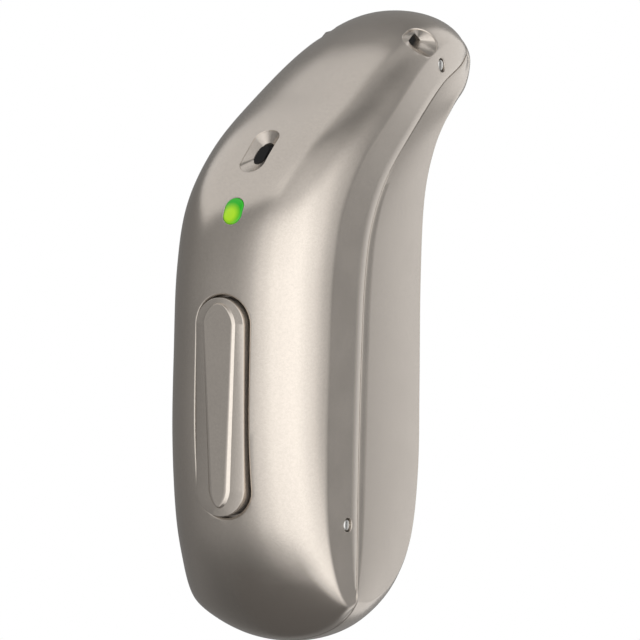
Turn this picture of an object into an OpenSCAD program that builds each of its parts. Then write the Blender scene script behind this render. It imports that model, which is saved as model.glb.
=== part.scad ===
// Behind-the-ear hearing aid: a bent two-part housing with a rocker button,
// microphones, rechargeable cell and a socket for the speaker lead in its nose.
// X is the thickness, the spine with the button faces -Y, Z is up as worn.

/* [Body] */
// Height of the housing
body_h = 31.6; // [29:0.1:35]
// Depth of the straight lower half, spine to ear side
body_d = 12.9; // [12.4:0.1:14.5]
// Thickness across the two cheeks
body_t = 9; // [8.8:0.1:10.5]
// Wall of both shells
wall = 0.8; // [0.6:0.05:0.85]
// Width of the facet between the spine and each cheek
facet_w = 2.15; // [1.8:0.05:2.4]
// Angle of that facet to the cheek, degrees
facet_angle = 12; // [9:1:16]
// Gap of the parting line between the two shells
parting_gap = 0.05; // [0.03:0.01:0.1]

/* [Rocker button] */
// Length of the button
button_l = 11.1; // [10:0.1:11.6]
// Width of the button
button_w = 2.84; // [2.5:0.02:3]
// Gap all round between the button and the cover
button_gap = 0.12; // [0.1:0.01:0.16]
// How far the crown stands above the cover
button_rise = 0.3; // [0.2:0.05:0.45]
// Width of the bevel round the crown
button_bevel = 0.8; // [0.6:0.05:0.95]
// Thickness of the flange that keeps the button in
flange_t = 0.28; // [0.22:0.02:0.3]
// How far the flange reaches past the opening
flange_lip = 0.26; // [0.2:0.02:0.3]
// Furthest that the button rocks each way, degrees
button_throw = 2; // [1:0.25:2.25]
// Diameter of the axle that the button rocks on
axle_d = 0.6; // [0.5:0.02:0.62]

/* [Openings] */
// Length of the rear microphone slot
slot_l = 1.25; // [1:0.05:1.4]
// Width of the rear microphone slot
slot_w = 0.6; // [0.45:0.05:0.7]
// How much wider the scoop round that slot is, on each side
scoop_rim = 0.5; // [0.35:0.05:0.6]
// Diameter of the cross channel of the front microphone
channel_d = 0.62; // [0.5:0.02:0.66]
// Diameter of the scoop at each end of that channel
channel_scoop_d = 2; // [1.6:0.05:2.1]
// Length of the light window
window_l = 1.45; // [1.2:0.05:1.6]
// Width of the light window
window_w = 1.05; // [0.9:0.05:1.2]

/* [Pins] */
// Diameter of the cross pins
pin_d = 0.7; // [0.6:0.02:0.76]
// Diameter of their holes in the cover
pin_hole_d = 0.84; // [0.8:0.02:0.9]
// How deep the pin ends lie in those holes
pin_recess = 0.14; // [0.1:0.02:0.2]

/* [Speaker socket] */
// Bore that takes the plug of the speaker lead
socket_d = 2; // [1.8:0.02:2.04]
// Depth of that bore
socket_l = 2.4; // [2.1:0.05:2.5]
// Wall of the socket sleeve
socket_wall = 0.35; // [0.3:0.01:0.36]

/* [Inside] */
// Room between the rechargeable cell and the wall on the ear side
ear_room = 0.42; // [0.35:0.01:0.8]
// Room between the cell and the wall of each cheek
side_room = 1; // [0.95:0.05:1.2]
// Thickness of the frame's middle web
web_t = 0.7; // [0.5:0.05:0.8]
// Thickness of the frame's other walls
frame_t = 0.55; // [0.45:0.05:0.6]
// Thickness of the main circuit board
board_t = 0.4; // [0.3:0.05:0.5]
// Thickness of the flexible switch board
flex_t = 0.2; // [0.15:0.01:0.25]
// Height of a switch body
switch_t = 0.7; // [0.55:0.05:0.75]
// Height of a snap dome
dome_t = 0.22; // [0.18:0.01:0.25]
// Length of a microphone
mic_l = 2.7; // [2.3:0.1:2.8]
// Width of a microphone
mic_w = 1.9; // [1.6:0.1:2.1]
// Height of a microphone
mic_t = 1; // [0.8:0.05:1.05]
// Diameter of the charging coil
coil_d = 4.9; // [4.2:0.1:5]
// Diameter of the telecoil
telecoil_d = 1.7; // [1.4:0.1:1.9]

/* [Hidden] */

// Radial gap of a moving fit, and gap between fixed pieces that nest
running_gap = 0.03;
seat_gap = 0.02;
// How far a cutting shape runs past the wall that it cuts
overrun = 1;

// Steps of the freeform walls: rings per span and points per quarter section
span_steps = 4;
arc_steps = 8;
round_fn = 48;

// The outline of the housing from the side, as stations round it. Each row gives the
// middle line, the edge of the cheek, the half width there, the facet, and the shape
// of the section between them: y as shares of body_d, z of body_h, the half width of
// half of body_t and the facet of facet_w. Then the exponent of the section's curve,
// and how far round that curve the facet or the cheek cuts it off.
spine_share = [
    [0.437, 0.003, 0.425, 0.071, 1.00, 0.00, 2.0, 0.26],
    [0.262, 0.032, 0.425, 0.100, 1.00, 0.62, 2.2, 0.24],
    [0.107, 0.097, 0.429, 0.146, 1.00, 0.95, 2.6, 0.20],
    [0.020, 0.194, 0.433, 0.211, 1.00, 1.00, 3.3, 0.18],
    [-0.016, 0.324, 0.444, 0.332, 1.00, 1.00, 3.7, 0.16],
    [-0.012, 0.470, 0.464, 0.470, 1.00, 1.00, 3.7, 0.16],
    [0.012, 0.608, 0.488, 0.575, 1.00, 1.00, 3.7, 0.16],
    [0.107, 0.712, 0.540, 0.661, 1.00, 1.00, 3.6, 0.18],
    [0.317, 0.806, 0.675, 0.737, 0.98, 1.00, 3.3, 0.20],
    [0.627, 0.883, 0.929, 0.814, 0.93, 0.95, 2.9, 0.22],
    [0.976, 0.950, 1.190, 0.875, 0.84, 0.86, 2.5, 0.26],
    [1.310, 0.992, 1.397, 0.904, 0.75, 0.67, 2.2, 0.28],
    [1.579, 0.969, 1.508, 0.921, 0.66, 0.00, 2.0, 0.28]];
ear_share = [
    [1.579, 0.969, 1.508, 0.921, 0.66, 0, 2.0, 0.28],
    [1.627, 0.917, 1.508, 0.908, 0.68, 0, 2.2, 0.12],
    [1.468, 0.859, 1.405, 0.877, 0.80, 0, 2.6, 0.12],
    [1.270, 0.827, 1.238, 0.843, 0.91, 0, 2.6, 0.12],
    [1.111, 0.778, 1.083, 0.784, 0.98, 0, 2.6, 0.12],
    [1.016, 0.697, 0.984, 0.700, 1.00, 0, 2.6, 0.12],
    [0.984, 0.567, 0.956, 0.567, 1.00, 0, 2.6, 0.12],
    [0.976, 0.405, 0.948, 0.405, 1.00, 0, 2.6, 0.12],
    [0.964, 0.259, 0.937, 0.267, 1.00, 0, 2.5, 0.14],
    [0.929, 0.136, 0.881, 0.162, 1.00, 0, 2.3, 0.18],
    [0.817, 0.052, 0.754, 0.100, 1.00, 0, 2.1, 0.22],
    [0.627, 0.006, 0.575, 0.070, 1.00, 0, 2.0, 0.25],
    [0.437, 0.003, 0.425, 0.071, 1.00, 0, 2.0, 0.26]];

// Stations along the spine of what sits in it, and the seat on the ear side
button_station = 4.42;
window_station = 6.88;
slot_station = 7.8;
seat_station = 4.5;

// One row in real sizes: middle line y, z, cheek edge y, z, half width, facet, exponent, cut
function sized(r) = [r[0] * body_d, r[1] * body_h, r[2] * body_d, r[3] * body_h,
    r[4] * body_t / 2, r[5] * facet_w, r[6], r[7]];

// A smooth curve through p1 and p2, with p0 and p3 to either side
function curve(p0, p1, p2, p3, t) = p1 + (p2 - p0) * t / 2
    + (2 * p0 - 5 * p1 + 4 * p2 - p3) * t * t / 2
    + (3 * p1 - p0 - 3 * p2 + p3) * t * t * t / 2;

// Row past the end of a table: the middle line runs on into the other table
function past(end, next, other) = let (q = 2 * end - next)
    [other[0], other[1], q[2], q[3], q[4], q[5], q[6], q[7]];
function padded(t, o) = let (n = len(t) - 1)
    concat([past(t[0], t[1], o[n - 1])], t, [past(t[n], t[n - 1], o[1])]);
function at_station(p, s) = let (i = min(floor(s), len(p) - 4), t = s - i)
    sized(curve(p[i], p[i + 1], p[i + 2], p[i + 3], t));
spine_rows = padded(spine_share, ear_share);
ear_rows = padded(ear_share, spine_share);
station_count = len(spine_share) - 1;
stations = [for (k = [0 : station_count * span_steps]) k / span_steps];
spine = [for (s = stations) at_station(spine_rows, s)];
ear = [for (s = stations) at_station(ear_rows, s)];
last = len(stations) - 1;

function middle(r) = [r[0], r[1]];
function edge(r) = [r[2], r[3]];
function unit(v) = v / norm(v);
function moved(r, step, edge_step, narrower) = [r[0] + step[0], r[1] + step[1],
    r[2] + edge_step[0], r[3] + edge_step[1], r[4] - narrower, r[5], r[6], r[7]];

// Quarter section of a row, from the middle line to the edge of the cheek
function quarter(r) = let (a = middle(r), c = edge(r), d = norm(a - c),
        f = max(0, min(r[5], 0.6 * d)), n = r[6], g = r[7],
        k = c + (a - c) / d * f * cos(facet_angle), xk = r[4] - f * sin(facet_angle),
        b = (k - a * g) / (1 - g), half = xk / pow(1 - pow(g, n), 1 / n),
        turn = acos(pow(g, n / 2)))
    concat([for (i = [0 : arc_steps]) let (w = turn * i / arc_steps,
            p = b + (a - b) * pow(cos(w), 2 / n)) [half * pow(sin(w), 2 / n), p[0], p[1]]],
        [[r[4], c[0], c[1]]]);
function mirrored(q) = [for (i = [len(q) - 1 : -1 : 1]) [-q[i][0], q[i][1], q[i][2]]];
function full(q) = concat(mirrored(q), q);

// Rings of the cover, outside and inside, from the nose back to the foot
cover_rows = [for (i = [last : -1 : 0]) spine[i]];
cover_outside = [for (r = cover_rows) full(quarter(r))];
cover_inside = [for (r = cover_rows)
    full(quarter(moved(r, wall * unit(edge(r) - middle(r)), [0, 0], wall)))];

// Rings of the base: from the seam over the cheek to its edge, then round the ear side
function seam_step(i) = let (s = edge(spine[last - i]), e = edge(ear[i]), d = norm(e - s))
    d > 0 ? s + (e - s) * min(parting_gap / d, 0.5) : s;
function half_base(r, i, narrower) = let (s = seam_step(i), w = spine[last - i][4] - narrower)
    concat(quarter(r), [[w, s[0], s[1]]]);
function side_way(i) = let (a = middle(ear[max(i - 1, 0)]), b = middle(ear[min(i + 1, last)]),
    t = unit(b - a)) [t[1], -t[0]];
function end_share(i) = min(1, min(i, last - i) / span_steps);
function base_way(i) = let (r = ear[i], across = unit(edge(r) - middle(r)))
    unit(side_way(i) * end_share(i) + across * (1 - end_share(i)));
function base_inner(i) = let (v = wall * base_way(i))
    moved(ear[i], v, v * end_share(i), wall);
base_outside = [for (i = [0 : last]) full(half_base(ear[i], i, 0))];
base_inside = [for (i = [0 : last]) full(half_base(base_inner(i), i, wall))];

// A closed wall between two grids of rings
function facets(a, b, c, p) = p[a] == p[b] || p[b] == p[c] || p[a] == p[c] ? [] : [[a, b, c]];
function patch(a, b, c, d, p) = concat(facets(a, b, c, p), facets(a, c, d, p));
module wall_between(outer, inner) {
    m = len(outer);
    n = len(outer[0]);
    p = concat([for (ring = outer) each ring], [for (ring = inner) each ring]);
    q = m * n;
    skin = [for (i = [0 : m - 2]) for (j = [0 : n - 2]) let (k = i * n + j)
        each concat(patch(k, k + 1, k + n + 1, k + n, p),
            patch(q + k, q + k + n, q + k + n + 1, q + k + 1, p))];
    ends = [for (j = [0 : n - 2]) let (k = (m - 1) * n + j)
        each concat(patch(q + j, q + j + 1, j + 1, j, p),
            patch(k, k + 1, q + k + 1, q + k, p))];
    rims = [for (i = [0 : m - 2]) let (k = i * n, e = k + n - 1)
        each concat(patch(k, k + n, q + k + n, q + k, p),
            patch(e, q + e, q + e + n, e + n, p))];
    polyhedron(p, concat(skin, ends, rims));
}

// The housing is drawn with the spine at y = 0 and its foot at z = 0, then moved so that
// the origin is where the concave side sits on the root of the ear
seat_point = middle(at_station(ear_rows, seat_station));
module worn() {
    translate([0, -seat_point[0], -seat_point[1]]) children();
}

// A place on the middle line of the spine, with -Y pointing out of the surface. The slope
// is taken over a short step of stations to either side.
slope_step = 0.05;
function tilt_at(s) = let (a = middle(at_station(spine_rows, s - slope_step)),
    b = middle(at_station(spine_rows, s + slope_step))) atan2(b[1] - a[1], b[0] - a[0]) - 90;
module on_spine(s) {
    p = middle(at_station(spine_rows, s));
    translate([0, p[0], p[1]]) rotate([tilt_at(s), 0, 0]) children();
}

// Points at a depth below the spine or below the ear side, as [y, z]
function below_spine(s, depth, along) = let (w = tilt_at(s))
    middle(at_station(spine_rows, s))
        + [depth * cos(w) - along * sin(w), depth * sin(w) + along * cos(w)];
function below_ear(s, depth) = let (a = middle(at_station(ear_rows, s - slope_step)),
    b = middle(at_station(ear_rows, s + slope_step)), t = unit(b - a))
    middle(at_station(ear_rows, s)) + depth * [t[1], -t[0]];

// Depths behind the spine of the parts that the button works on
button_z = at_station(spine_rows, button_station)[1];
spine_y = at_station(spine_rows, button_station)[0];
opening_w = button_w + 2 * button_gap;
opening_l = button_l + 2 * button_gap;
flange_l = opening_l + 2 * flange_lip;
flange_w = opening_w + 2 * flange_lip;
rock_gap = button_gap / 3;
flange_y = spine_y + wall + flange_l / 2 * sin(button_throw) + rock_gap;
under_y = flange_y + flange_t;
eye_wall = 0.22;
eye_d = axle_d + 2 * eye_wall;
axle_y = under_y + 2 * rock_gap + eye_d / 2;
plunger_l = 0.28;
plunger_d = 0.8;
dome_y = under_y + plunger_l + seat_gap;
switch_y = dome_y + dome_t;
flex_y = switch_y + switch_t;
bridge_y = flex_y + flex_t;
bridge_back = bridge_y + frame_t;
switch_reach = 0.32 * button_l;
switch_w = 0.85 * button_w;
switch_l = 0.2 * button_l;
ear_x = 0.4 * button_w;

// A flat stadium in the X-Z plane, from y0 to y1
module stadium(l, w, y0, y1) {
    translate([0, y1, 0]) rotate([90, 0, 0]) linear_extrude(y1 - y0) {
        square([w, l - w], center = true);
        for (side = [-1, 1])
            translate([0, side * (l - w) / 2]) circle(d = w, $fn = round_fn);
    }
}

// A long button with round ends: half its profile as [x, y], and the length between
// the centres of its ends
module long_round(half, run) {
    linear_extrude(run, center = true)
        polygon(concat(half, [for (i = [len(half) - 1 : -1 : 0]) [-half[i][0], half[i][1]]]));
    for (side = [-1, 1])
        translate([0, 0, side * run / 2]) rotate([-90, 0, 0])
            rotate_extrude($fn = round_fn)
                polygon(concat([[0, half[0][1]]], half, [[0, half[len(half) - 1][1]]]));
}

// A rod along X, from x0 to x1
module rod_x(d, x0, x1) {
    translate([x0, 0, 0]) rotate([0, 90, 0]) cylinder(d = d, h = x1 - x0, $fn = round_fn);
}

// A rod along Y, from y0 to y1
module rod_y(d, y0, y1) {
    translate([0, y0, 0]) rotate([-90, 0, 0]) cylinder(d = d, h = y1 - y0, $fn = round_fn);
}

// A block between two corners
module block(a, b) {
    translate(a) cube(b - a);
}

// A plate in the Y-Z plane, from x0 to x1, with the outline p given as [y, z]
module side_plate(p, x0, x1) {
    translate([x0, 0, 0]) rotate([90, 0, 90]) linear_extrude(x1 - x0) polygon(p);
}

// Places of the pins: on the facet, a little behind the seam
base_pin_station = 2.72;
lock_pin_station = 10.33;
pin_inset = 0.85;
function facet_place(s, inset) = let (r = at_station(spine_rows, s), c = edge(r),
    way = unit(middle(r) - c)) concat(r[4] - inset * sin(facet_angle), c + inset * way);
base_pin = facet_place(base_pin_station, pin_inset);
lock_pin = facet_place(lock_pin_station, pin_inset);

// Place of the front microphone's cross channel, near the nose
channel_station = 10.4;
channel_depth = 0.62;
channel_place = below_spine(channel_station, channel_depth, 0);

// The speaker socket lies level in the nose and its bore opens forwards
sleeve_d = socket_d + 2 * socket_wall;
collar_d = sleeve_d + frame_t;
tail_d = 0.8 * socket_d;
pin_room = 0.07;
tail_l = pin_d + 2 * running_gap + 2 * pin_room;
tail_wall = 0.3;
socket_y = lock_pin[1] + tail_l / 2;
socket_z = lock_pin[2];
sleeve_y0 = socket_y - tail_l - tail_wall;
sleeve_y1 = socket_y + socket_l;
groove_depth = 0.15;
groove_w = 0.35;
groove_y = sleeve_y1 - 3 * groove_w;

// The rechargeable cell lies across the foot, behind the bridge of the frame
foot_room = 1.6;
cell_room = 0.35;
cell_station = 9;
cell_t = body_t - 2 * (wall + side_room);
cell_d = at_station(ear_rows, cell_station)[0] - wall - ear_room - cell_room - bridge_back;
cell_y = bridge_back + cell_room + cell_d / 2;
cell_z = wall + foot_room + cell_d / 2;
shelf_z = cell_z + cell_d / 2 + 2 * seat_gap;
shelf_top = shelf_z + frame_t;
tab_t = 0.12;
tab_w = 1.2;
arm_x = cell_t / 2 + tab_t + seat_gap;
arm_w = 1.5;

// Depths of the frame's web and of the microphones below the outline
web_depth = bridge_back - spine_y + seat_gap;
ear_depth = 1.3 * wall;
gasket_gap = 0.14;
gasket_t = 0.81;
gasket_y = wall + gasket_gap;
mic_depth = gasket_y + gasket_t;
ferrite_t = 0.2;
coil_t = 0.4;
board_x = web_t / 2 + board_t;

paint = "#b9ad9f";
satin_steel = "#c9c9c6";
black = "#2b2b2d";
gold = "#c9a64a";
green = "#5ec43a";

module cover_openings() {
    translate([0, 0, button_z]) {
        stadium(opening_l, opening_w, spine_y - overrun, spine_y + 2 * wall);
        stadium(flange_l + 2 * button_gap, flange_w + 2 * button_gap, spine_y + wall,
            under_y + overrun);
    }
    on_spine(window_station) stadium(window_l, window_w, -overrun, 2 * wall);
    on_spine(slot_station) stadium(slot_l, slot_w, -overrun, 2 * wall);
    translate([0, channel_place[0], channel_place[1]]) rod_x(channel_d, -body_t, body_t);
    for (side = [-1, 1]) {
        translate([side * base_pin[0], base_pin[1], base_pin[2]])
            rod_x(pin_hole_d, -2 * wall, 2 * wall);
        translate([side * lock_pin[0], lock_pin[1], lock_pin[2]])
            rod_x(pin_hole_d, -2 * wall, 2 * wall);
    }
}

// Scoops that lead into the microphone openings
scoop_depth = 0.5;
module scoops() {
    on_spine(slot_station) hull() {
        stadium(slot_l + 2 * scoop_rim + scoop_depth, slot_w + 2 * scoop_rim,
            -scoop_depth / 2, -scoop_depth / 4);
        stadium(slot_l, slot_w, 0, scoop_depth);
    }
    for (side = [-1, 1])
        translate([side * body_t / 5, channel_place[0], channel_place[1]])
            rotate([0, side * 90, 0])
                cylinder(d1 = channel_d, d2 = channel_scoop_d + channel_d, h = body_t / 5,
                    $fn = round_fn);
}

module spine_cover() {
    color(paint) worn() difference() {
        wall_between(cover_outside, cover_inside);
        scoops();
        cover_openings();
    }
}

module base_shell() {
    color(paint) worn() difference() {
        wall_between(base_outside, base_inside);
        translate([0, 0, socket_z])
            rod_y(sleeve_d + 2 * running_gap, sleeve_y0 - overrun, sleeve_y1 + body_d / 2);
    }
}

module rocker_button() {
    eye_x = ear_x - 2 * seat_gap;
    crown_y = spine_y + button_rise / 3;
    color(paint) worn() translate([0, 0, button_z]) difference() {
        union() {
            long_round([[button_w / 2 - button_bevel, spine_y - button_rise],
                [button_w / 2, crown_y], [button_w / 2, flange_y], [flange_w / 2, flange_y],
                [flange_w / 2, under_y]], button_l - button_w);
            block([-eye_x, under_y, -eye_d / 2], [eye_x, axle_y, eye_d / 2]);
            translate([0, axle_y, 0]) rod_x(eye_d, -eye_x, eye_x);
            for (side = [-1, 1])
                translate([0, 0, side * switch_reach])
                    rod_y(plunger_d, under_y, under_y + plunger_l);
        }
        translate([0, axle_y, 0]) rod_x(axle_d + 2 * running_gap, -button_w, button_w);
    }
}

module rocker_axle() {
    half = ear_x + frame_t;
    color(satin_steel) worn() translate([0, axle_y, button_z]) rod_x(axle_d, -half, half);
}

module switch_body(side) {
    z = button_z + side * switch_reach;
    color(black) worn() block([-switch_w / 2, switch_y, z - switch_l / 2],
        [switch_w / 2, flex_y, z + switch_l / 2]);
}
module upper_switch() {
    switch_body(1);
}
module lower_switch() {
    switch_body(-1);
}

module snap_domes() {
    color(satin_steel) worn() for (side = [-1, 1])
        translate([0, switch_y, button_z + side * switch_reach]) rotate([90, 0, 0])
            cylinder(d1 = 0.8 * switch_l, d2 = plunger_d, h = dome_t, $fn = round_fn);
}

// The flexible board runs straight behind the button, then bends along the spine to
// the indicator
guide_l = 0.8;
led_l = 0.9;
led_t = 0.35;
led_depth = wall + guide_l;
module switch_board() {
    half = ear_x - 2 * seat_gap;
    z0 = button_z - switch_reach - switch_l / 2;
    z1 = button_z + switch_reach + switch_l / 2;
    d0 = led_depth + led_t;
    color("#8a6a2c") worn() side_plate([[flex_y, z0], [bridge_y, z0], [bridge_y, z1],
        below_spine(window_station, d0 + flex_t, -led_l / 2),
        below_spine(window_station, d0 + flex_t, led_l / 2),
        below_spine(window_station, d0, led_l / 2),
        below_spine(window_station, d0, -led_l / 2), [flex_y, z1]],
        -half, half);
}

module light_guide() {
    lip_y = wall + 3 * running_gap;
    lip = 0.15;
    color(green) worn() on_spine(window_station) {
        stadium(window_l - 2 * seat_gap, window_w - 2 * seat_gap, seat_gap, led_depth - seat_gap);
        stadium(window_l + 2 * lip, window_w + 2 * lip, lip_y, lip_y + lip);
    }
}

module indicator_led() {
    color("white") worn() on_spine(window_station)
        block([-led_l / 2, led_depth, -led_l / 2], [led_l / 2, led_depth + led_t, led_l / 2]);
}

// A microphone: its can, with the port in the middle of the side that faces out
port_d = 0.4;
module microphone(w, l, depth, along, port) {
    difference() {
        block([-w / 2, depth, along - l / 2], [w / 2, depth + mic_t, along + l / 2]);
        translate([0, 0, port]) rod_y(port_d, depth - overrun, depth + mic_t / 3);
    }
}
module rear_microphone() {
    color(gold) worn() on_spine(slot_station) microphone(mic_w, mic_l, mic_depth, 0, 0);
}

// The front one lies across, just behind the speaker socket
front_port = -0.65;
front_mic_gap = 0.45;
front_mic_along = -front_mic_gap - mic_w / 2;
module front_microphone() {
    color(gold) worn() on_spine(channel_station)
        microphone(mic_l, mic_w, mic_depth, front_mic_along, front_port);
}

module microphone_gaskets() {
    rim = 0.3;
    saddle_w = 1.1 * mic_w;
    saddle_l = 2.1 * channel_d;
    color(black) worn() {
        on_spine(slot_station) difference() {
            stadium(slot_l + 2 * rim, slot_w + 2 * rim, gasket_y, mic_depth);
            stadium(slot_l, slot_w, 0, mic_depth + overrun);
        }
        difference() {
            on_spine(channel_station) difference() {
                block([-saddle_w / 2, gasket_y, -saddle_l], [saddle_w / 2, mic_depth, -seat_gap]);
                translate([0, 0, front_port]) rod_y(port_d, 0, mic_depth + overrun);
            }
            translate([0, channel_place[0], channel_place[1]])
                rod_x(channel_d, -body_t, body_t);
        }
    }
}

screen_t = 0.06;
module inlet_screens() {
    color(black) worn() {
        on_spine(slot_station)
            stadium(slot_l - 2 * seat_gap, slot_w - 2 * seat_gap, scoop_depth, scoop_depth + screen_t);
        for (side = [-1, 1]) translate([side * body_t / 6, channel_place[0], channel_place[1]])
            rod_x(channel_d - 2 * seat_gap, -screen_t / 2, screen_t / 2);
    }
}

// The frame: a web up the middle, a bridge behind the button, a fork round the cell
// and a collar for the speaker socket
web_outline = concat([[bridge_y, shelf_z]],
    [for (s = [5 : 0.5 : 10]) below_spine(s, web_depth, 0)],
    [for (s = [2.7 : 0.5 : 7.2]) below_ear(s, ear_depth)],
    [[body_d - 3 * ear_depth, shelf_z]]);
module inner_frame() {
    bridge_x = 0.65 * button_w;
    z0 = button_z - switch_reach - switch_l / 2;
    z1 = button_z + switch_reach + switch_l / 2;
    side_x = body_t / 2 - wall - 0.4 * wall;
    ear_half = eye_d / 2;
    color("#4a4c50") worn() difference() {
        union() {
            side_plate(web_outline, -web_t / 2, web_t / 2);
            block([-bridge_x, bridge_y, z0], [bridge_x, bridge_back, z1]);
            translate([0, 0, shelf_z]) linear_extrude(frame_t) polygon([
                [-bridge_x, bridge_y], [bridge_x, bridge_y], [side_x, base_pin[1]],
                [side_x, cell_y + cell_d / 3], [-side_x, cell_y + cell_d / 3],
                [-side_x, base_pin[1]]]);
            for (side = [-1, 1]) {
                translate([side * (arm_x + side_x) / 2, base_pin[1], 0])
                    block([(arm_x - side_x) / 2, -arm_w / 2, base_pin[2] - arm_w / 2],
                        [(side_x - arm_x) / 2, arm_w / 2, shelf_z + frame_t / 2]);
                translate([side * (ear_x + frame_t / 2), 0, button_z])
                    block([-frame_t / 2, under_y + rock_gap, -ear_half],
                        [frame_t / 2, bridge_y + frame_t / 2, ear_half]);
            }
            translate([0, 0, socket_z]) rod_y(collar_d, sleeve_y0, lock_pin[1] + pin_d);
        }
        translate([0, axle_y, button_z]) rod_x(axle_d + 2 * seat_gap, -body_t, body_t);
        translate([0, base_pin[1], base_pin[2]]) rod_x(pin_d + 2 * seat_gap, -body_t, body_t);
        translate([0, lock_pin[1], lock_pin[2]]) rod_x(pin_d + 2 * running_gap, -body_t, body_t);
        translate([0, 0, socket_z]) rod_y(sleeve_d + 2 * seat_gap, sleeve_y0 - overrun, body_d * 2);
    }
}

// Boards and chips stand on the +X side of the web, above the cell
board_y0 = bridge_back + frame_t;
board_y1 = body_d - 2.2 * wall;
board_z0 = shelf_top + seat_gap;
board_z1 = 0.625 * body_h;
board_l = board_y1 - board_y0;
board_h = board_z1 - board_z0;
module on_board(y_share, z_share) {
    translate([board_x, board_y0 + y_share * board_l, board_z0 + z_share * board_h]) children();
}
module chip(l, h, t) {
    translate([0, -l / 2, -h / 2]) cube([t, l, h]);
}
chip_t = 0.9;
module main_board() {
    color("#1f5a3c") worn()
        block([web_t / 2, board_y0, board_z0], [board_x, board_y1, board_z1]);
}
module signal_processor() {
    color(black) worn() on_board(0.3, 0.3) chip(0.48 * board_l, 0.42 * board_h, chip_t);
}
module radio_chip() {
    color(black) worn() on_board(0.3, 0.76) chip(0.4 * board_l, 0.3 * board_h, chip_t);
}
module charge_controller() {
    color(black) worn() on_board(0.76, 0.2) chip(0.28 * board_l, 0.24 * board_h, 0.8 * chip_t);
}
module board_components() {
    color("#b08d57") worn() for (row = [0 : 3]) for (place = [0 : 1])
        on_board(0.67 + 0.18 * place, 0.45 + 0.14 * row)
            chip(0.11 * board_l, 0.06 * board_h, chip_t / 2);
}

antenna_w = 0.8;
antenna_t = 0.12;
module antenna() {
    depth = web_depth + seat_gap;
    steps = [for (s = [5.2 : 0.4 : 9.6]) s];
    outer = [for (s = steps) below_spine(s, depth, 0)];
    inner = [for (k = [len(steps) - 1 : -1 : 0]) below_spine(steps[k], depth + antenna_w, 0)];
    color("#c07a4a") worn() side_plate(concat(outer, inner), -web_t / 2 - antenna_t, -web_t / 2);
}

module telecoil() {
    core_d = 0.7 * telecoil_d;
    cap_l = 0.3 * telecoil_d;
    coil_l = 0.5 * board_h;
    color("#b5652f") worn()
        translate([-(web_t + telecoil_d) / 2, body_d / 2, board_z0 + cap_l]) {
            cylinder(d = core_d, h = coil_l + 2 * cap_l, $fn = round_fn);
            translate([0, 0, cap_l]) cylinder(d = telecoil_d, h = coil_l, $fn = round_fn);
        }
}

module battery_cell() {
    rim = 0.09 * cell_d;
    step = 0.1 * cell_t;
    color(satin_steel) worn() translate([0, cell_y, cell_z]) {
        rod_x(cell_d, -cell_t / 2, cell_t / 2 - step);
        rod_x(cell_d - 2 * rim, cell_t / 2 - step, cell_t / 2);
    }
}

module battery_tabs() {
    color(satin_steel) worn() {
        block([-cell_t / 2 - tab_t, cell_y - tab_w / 2, cell_z],
            [-cell_t / 2, cell_y + tab_w / 2, shelf_z - seat_gap]);
        block([cell_t / 2, base_pin[1] - tab_w / 2, cell_z + tab_w],
            [cell_t / 2 + tab_t, base_pin[1] + tab_w / 2, shelf_z - seat_gap]);
    }
}

// The charging coil and its ferrite lie against the cell, ahead of the fork
coil_y = base_pin[1] + arm_w / 2 + coil_d / 2 + 4 * seat_gap;
module ferrite_sheet() {
    color("#5a5652") worn() translate([0, coil_y, cell_z])
        rod_x(coil_d, cell_t / 2 + seat_gap, cell_t / 2 + seat_gap + ferrite_t);
}
module charging_coil() {
    x = cell_t / 2 + 2 * seat_gap + ferrite_t;
    color("#b5652f") worn() translate([0, coil_y, cell_z]) difference() {
        rod_x(coil_d, x, x + coil_t);
        rod_x(0.4 * coil_d, x - overrun, x + overrun);
    }
}

contact_d = 0.26;
module contact_rods(gap) {
    for (turn = [90, 210, 330])
        translate([0.28 * tail_d * cos(turn), 0, socket_z + 0.28 * tail_d * sin(turn)])
            rod_y(contact_d + 2 * gap, sleeve_y0 - 2 * seat_gap, socket_y - tail_l);
}
module seal_ring(inner_d, outer_d, w) {
    translate([0, 0, socket_z]) difference() {
        rod_y(outer_d, groove_y - w / 2, groove_y + w / 2);
        rod_y(inner_d, groove_y - w, groove_y + w);
    }
}
module speaker_socket() {
    color(black) worn() difference() {
        translate([0, 0, socket_z]) rod_y(sleeve_d, sleeve_y0, sleeve_y1);
        translate([0, 0, socket_z]) rod_y(socket_d, socket_y, sleeve_y1 + overrun);
        translate([0, 0, socket_z]) rod_y(tail_d, socket_y - tail_l, sleeve_y1);
        translate([0, lock_pin[1], lock_pin[2]]) rod_x(pin_d + 2 * running_gap, -body_t, body_t);
        contact_rods(seat_gap);
        seal_ring(sleeve_d - 2 * groove_depth, sleeve_d + overrun, groove_w);
    }
}
module socket_contacts() {
    color(gold) worn() contact_rods(0);
}
module socket_seal() {
    color("#3d3d40") worn() seal_ring(sleeve_d - 2 * groove_depth + 2 * seat_gap,
        sleeve_d + running_gap, groove_w - 2 * seat_gap);
}

module speaker_lock_pin() {
    half = lock_pin[0] - pin_recess;
    color(satin_steel) worn() translate([0, lock_pin[1], lock_pin[2]]) rod_x(pin_d, -half, half);
}
module base_pins() {
    color(satin_steel) worn() for (side = [-1, 1])
        translate([side * (arm_x + base_pin[0] - pin_recess) / 2, base_pin[1], base_pin[2]])
            rod_x(pin_d, (arm_x + pin_recess - base_pin[0]) / 2,
                (base_pin[0] - pin_recess - arm_x) / 2);
}

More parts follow.
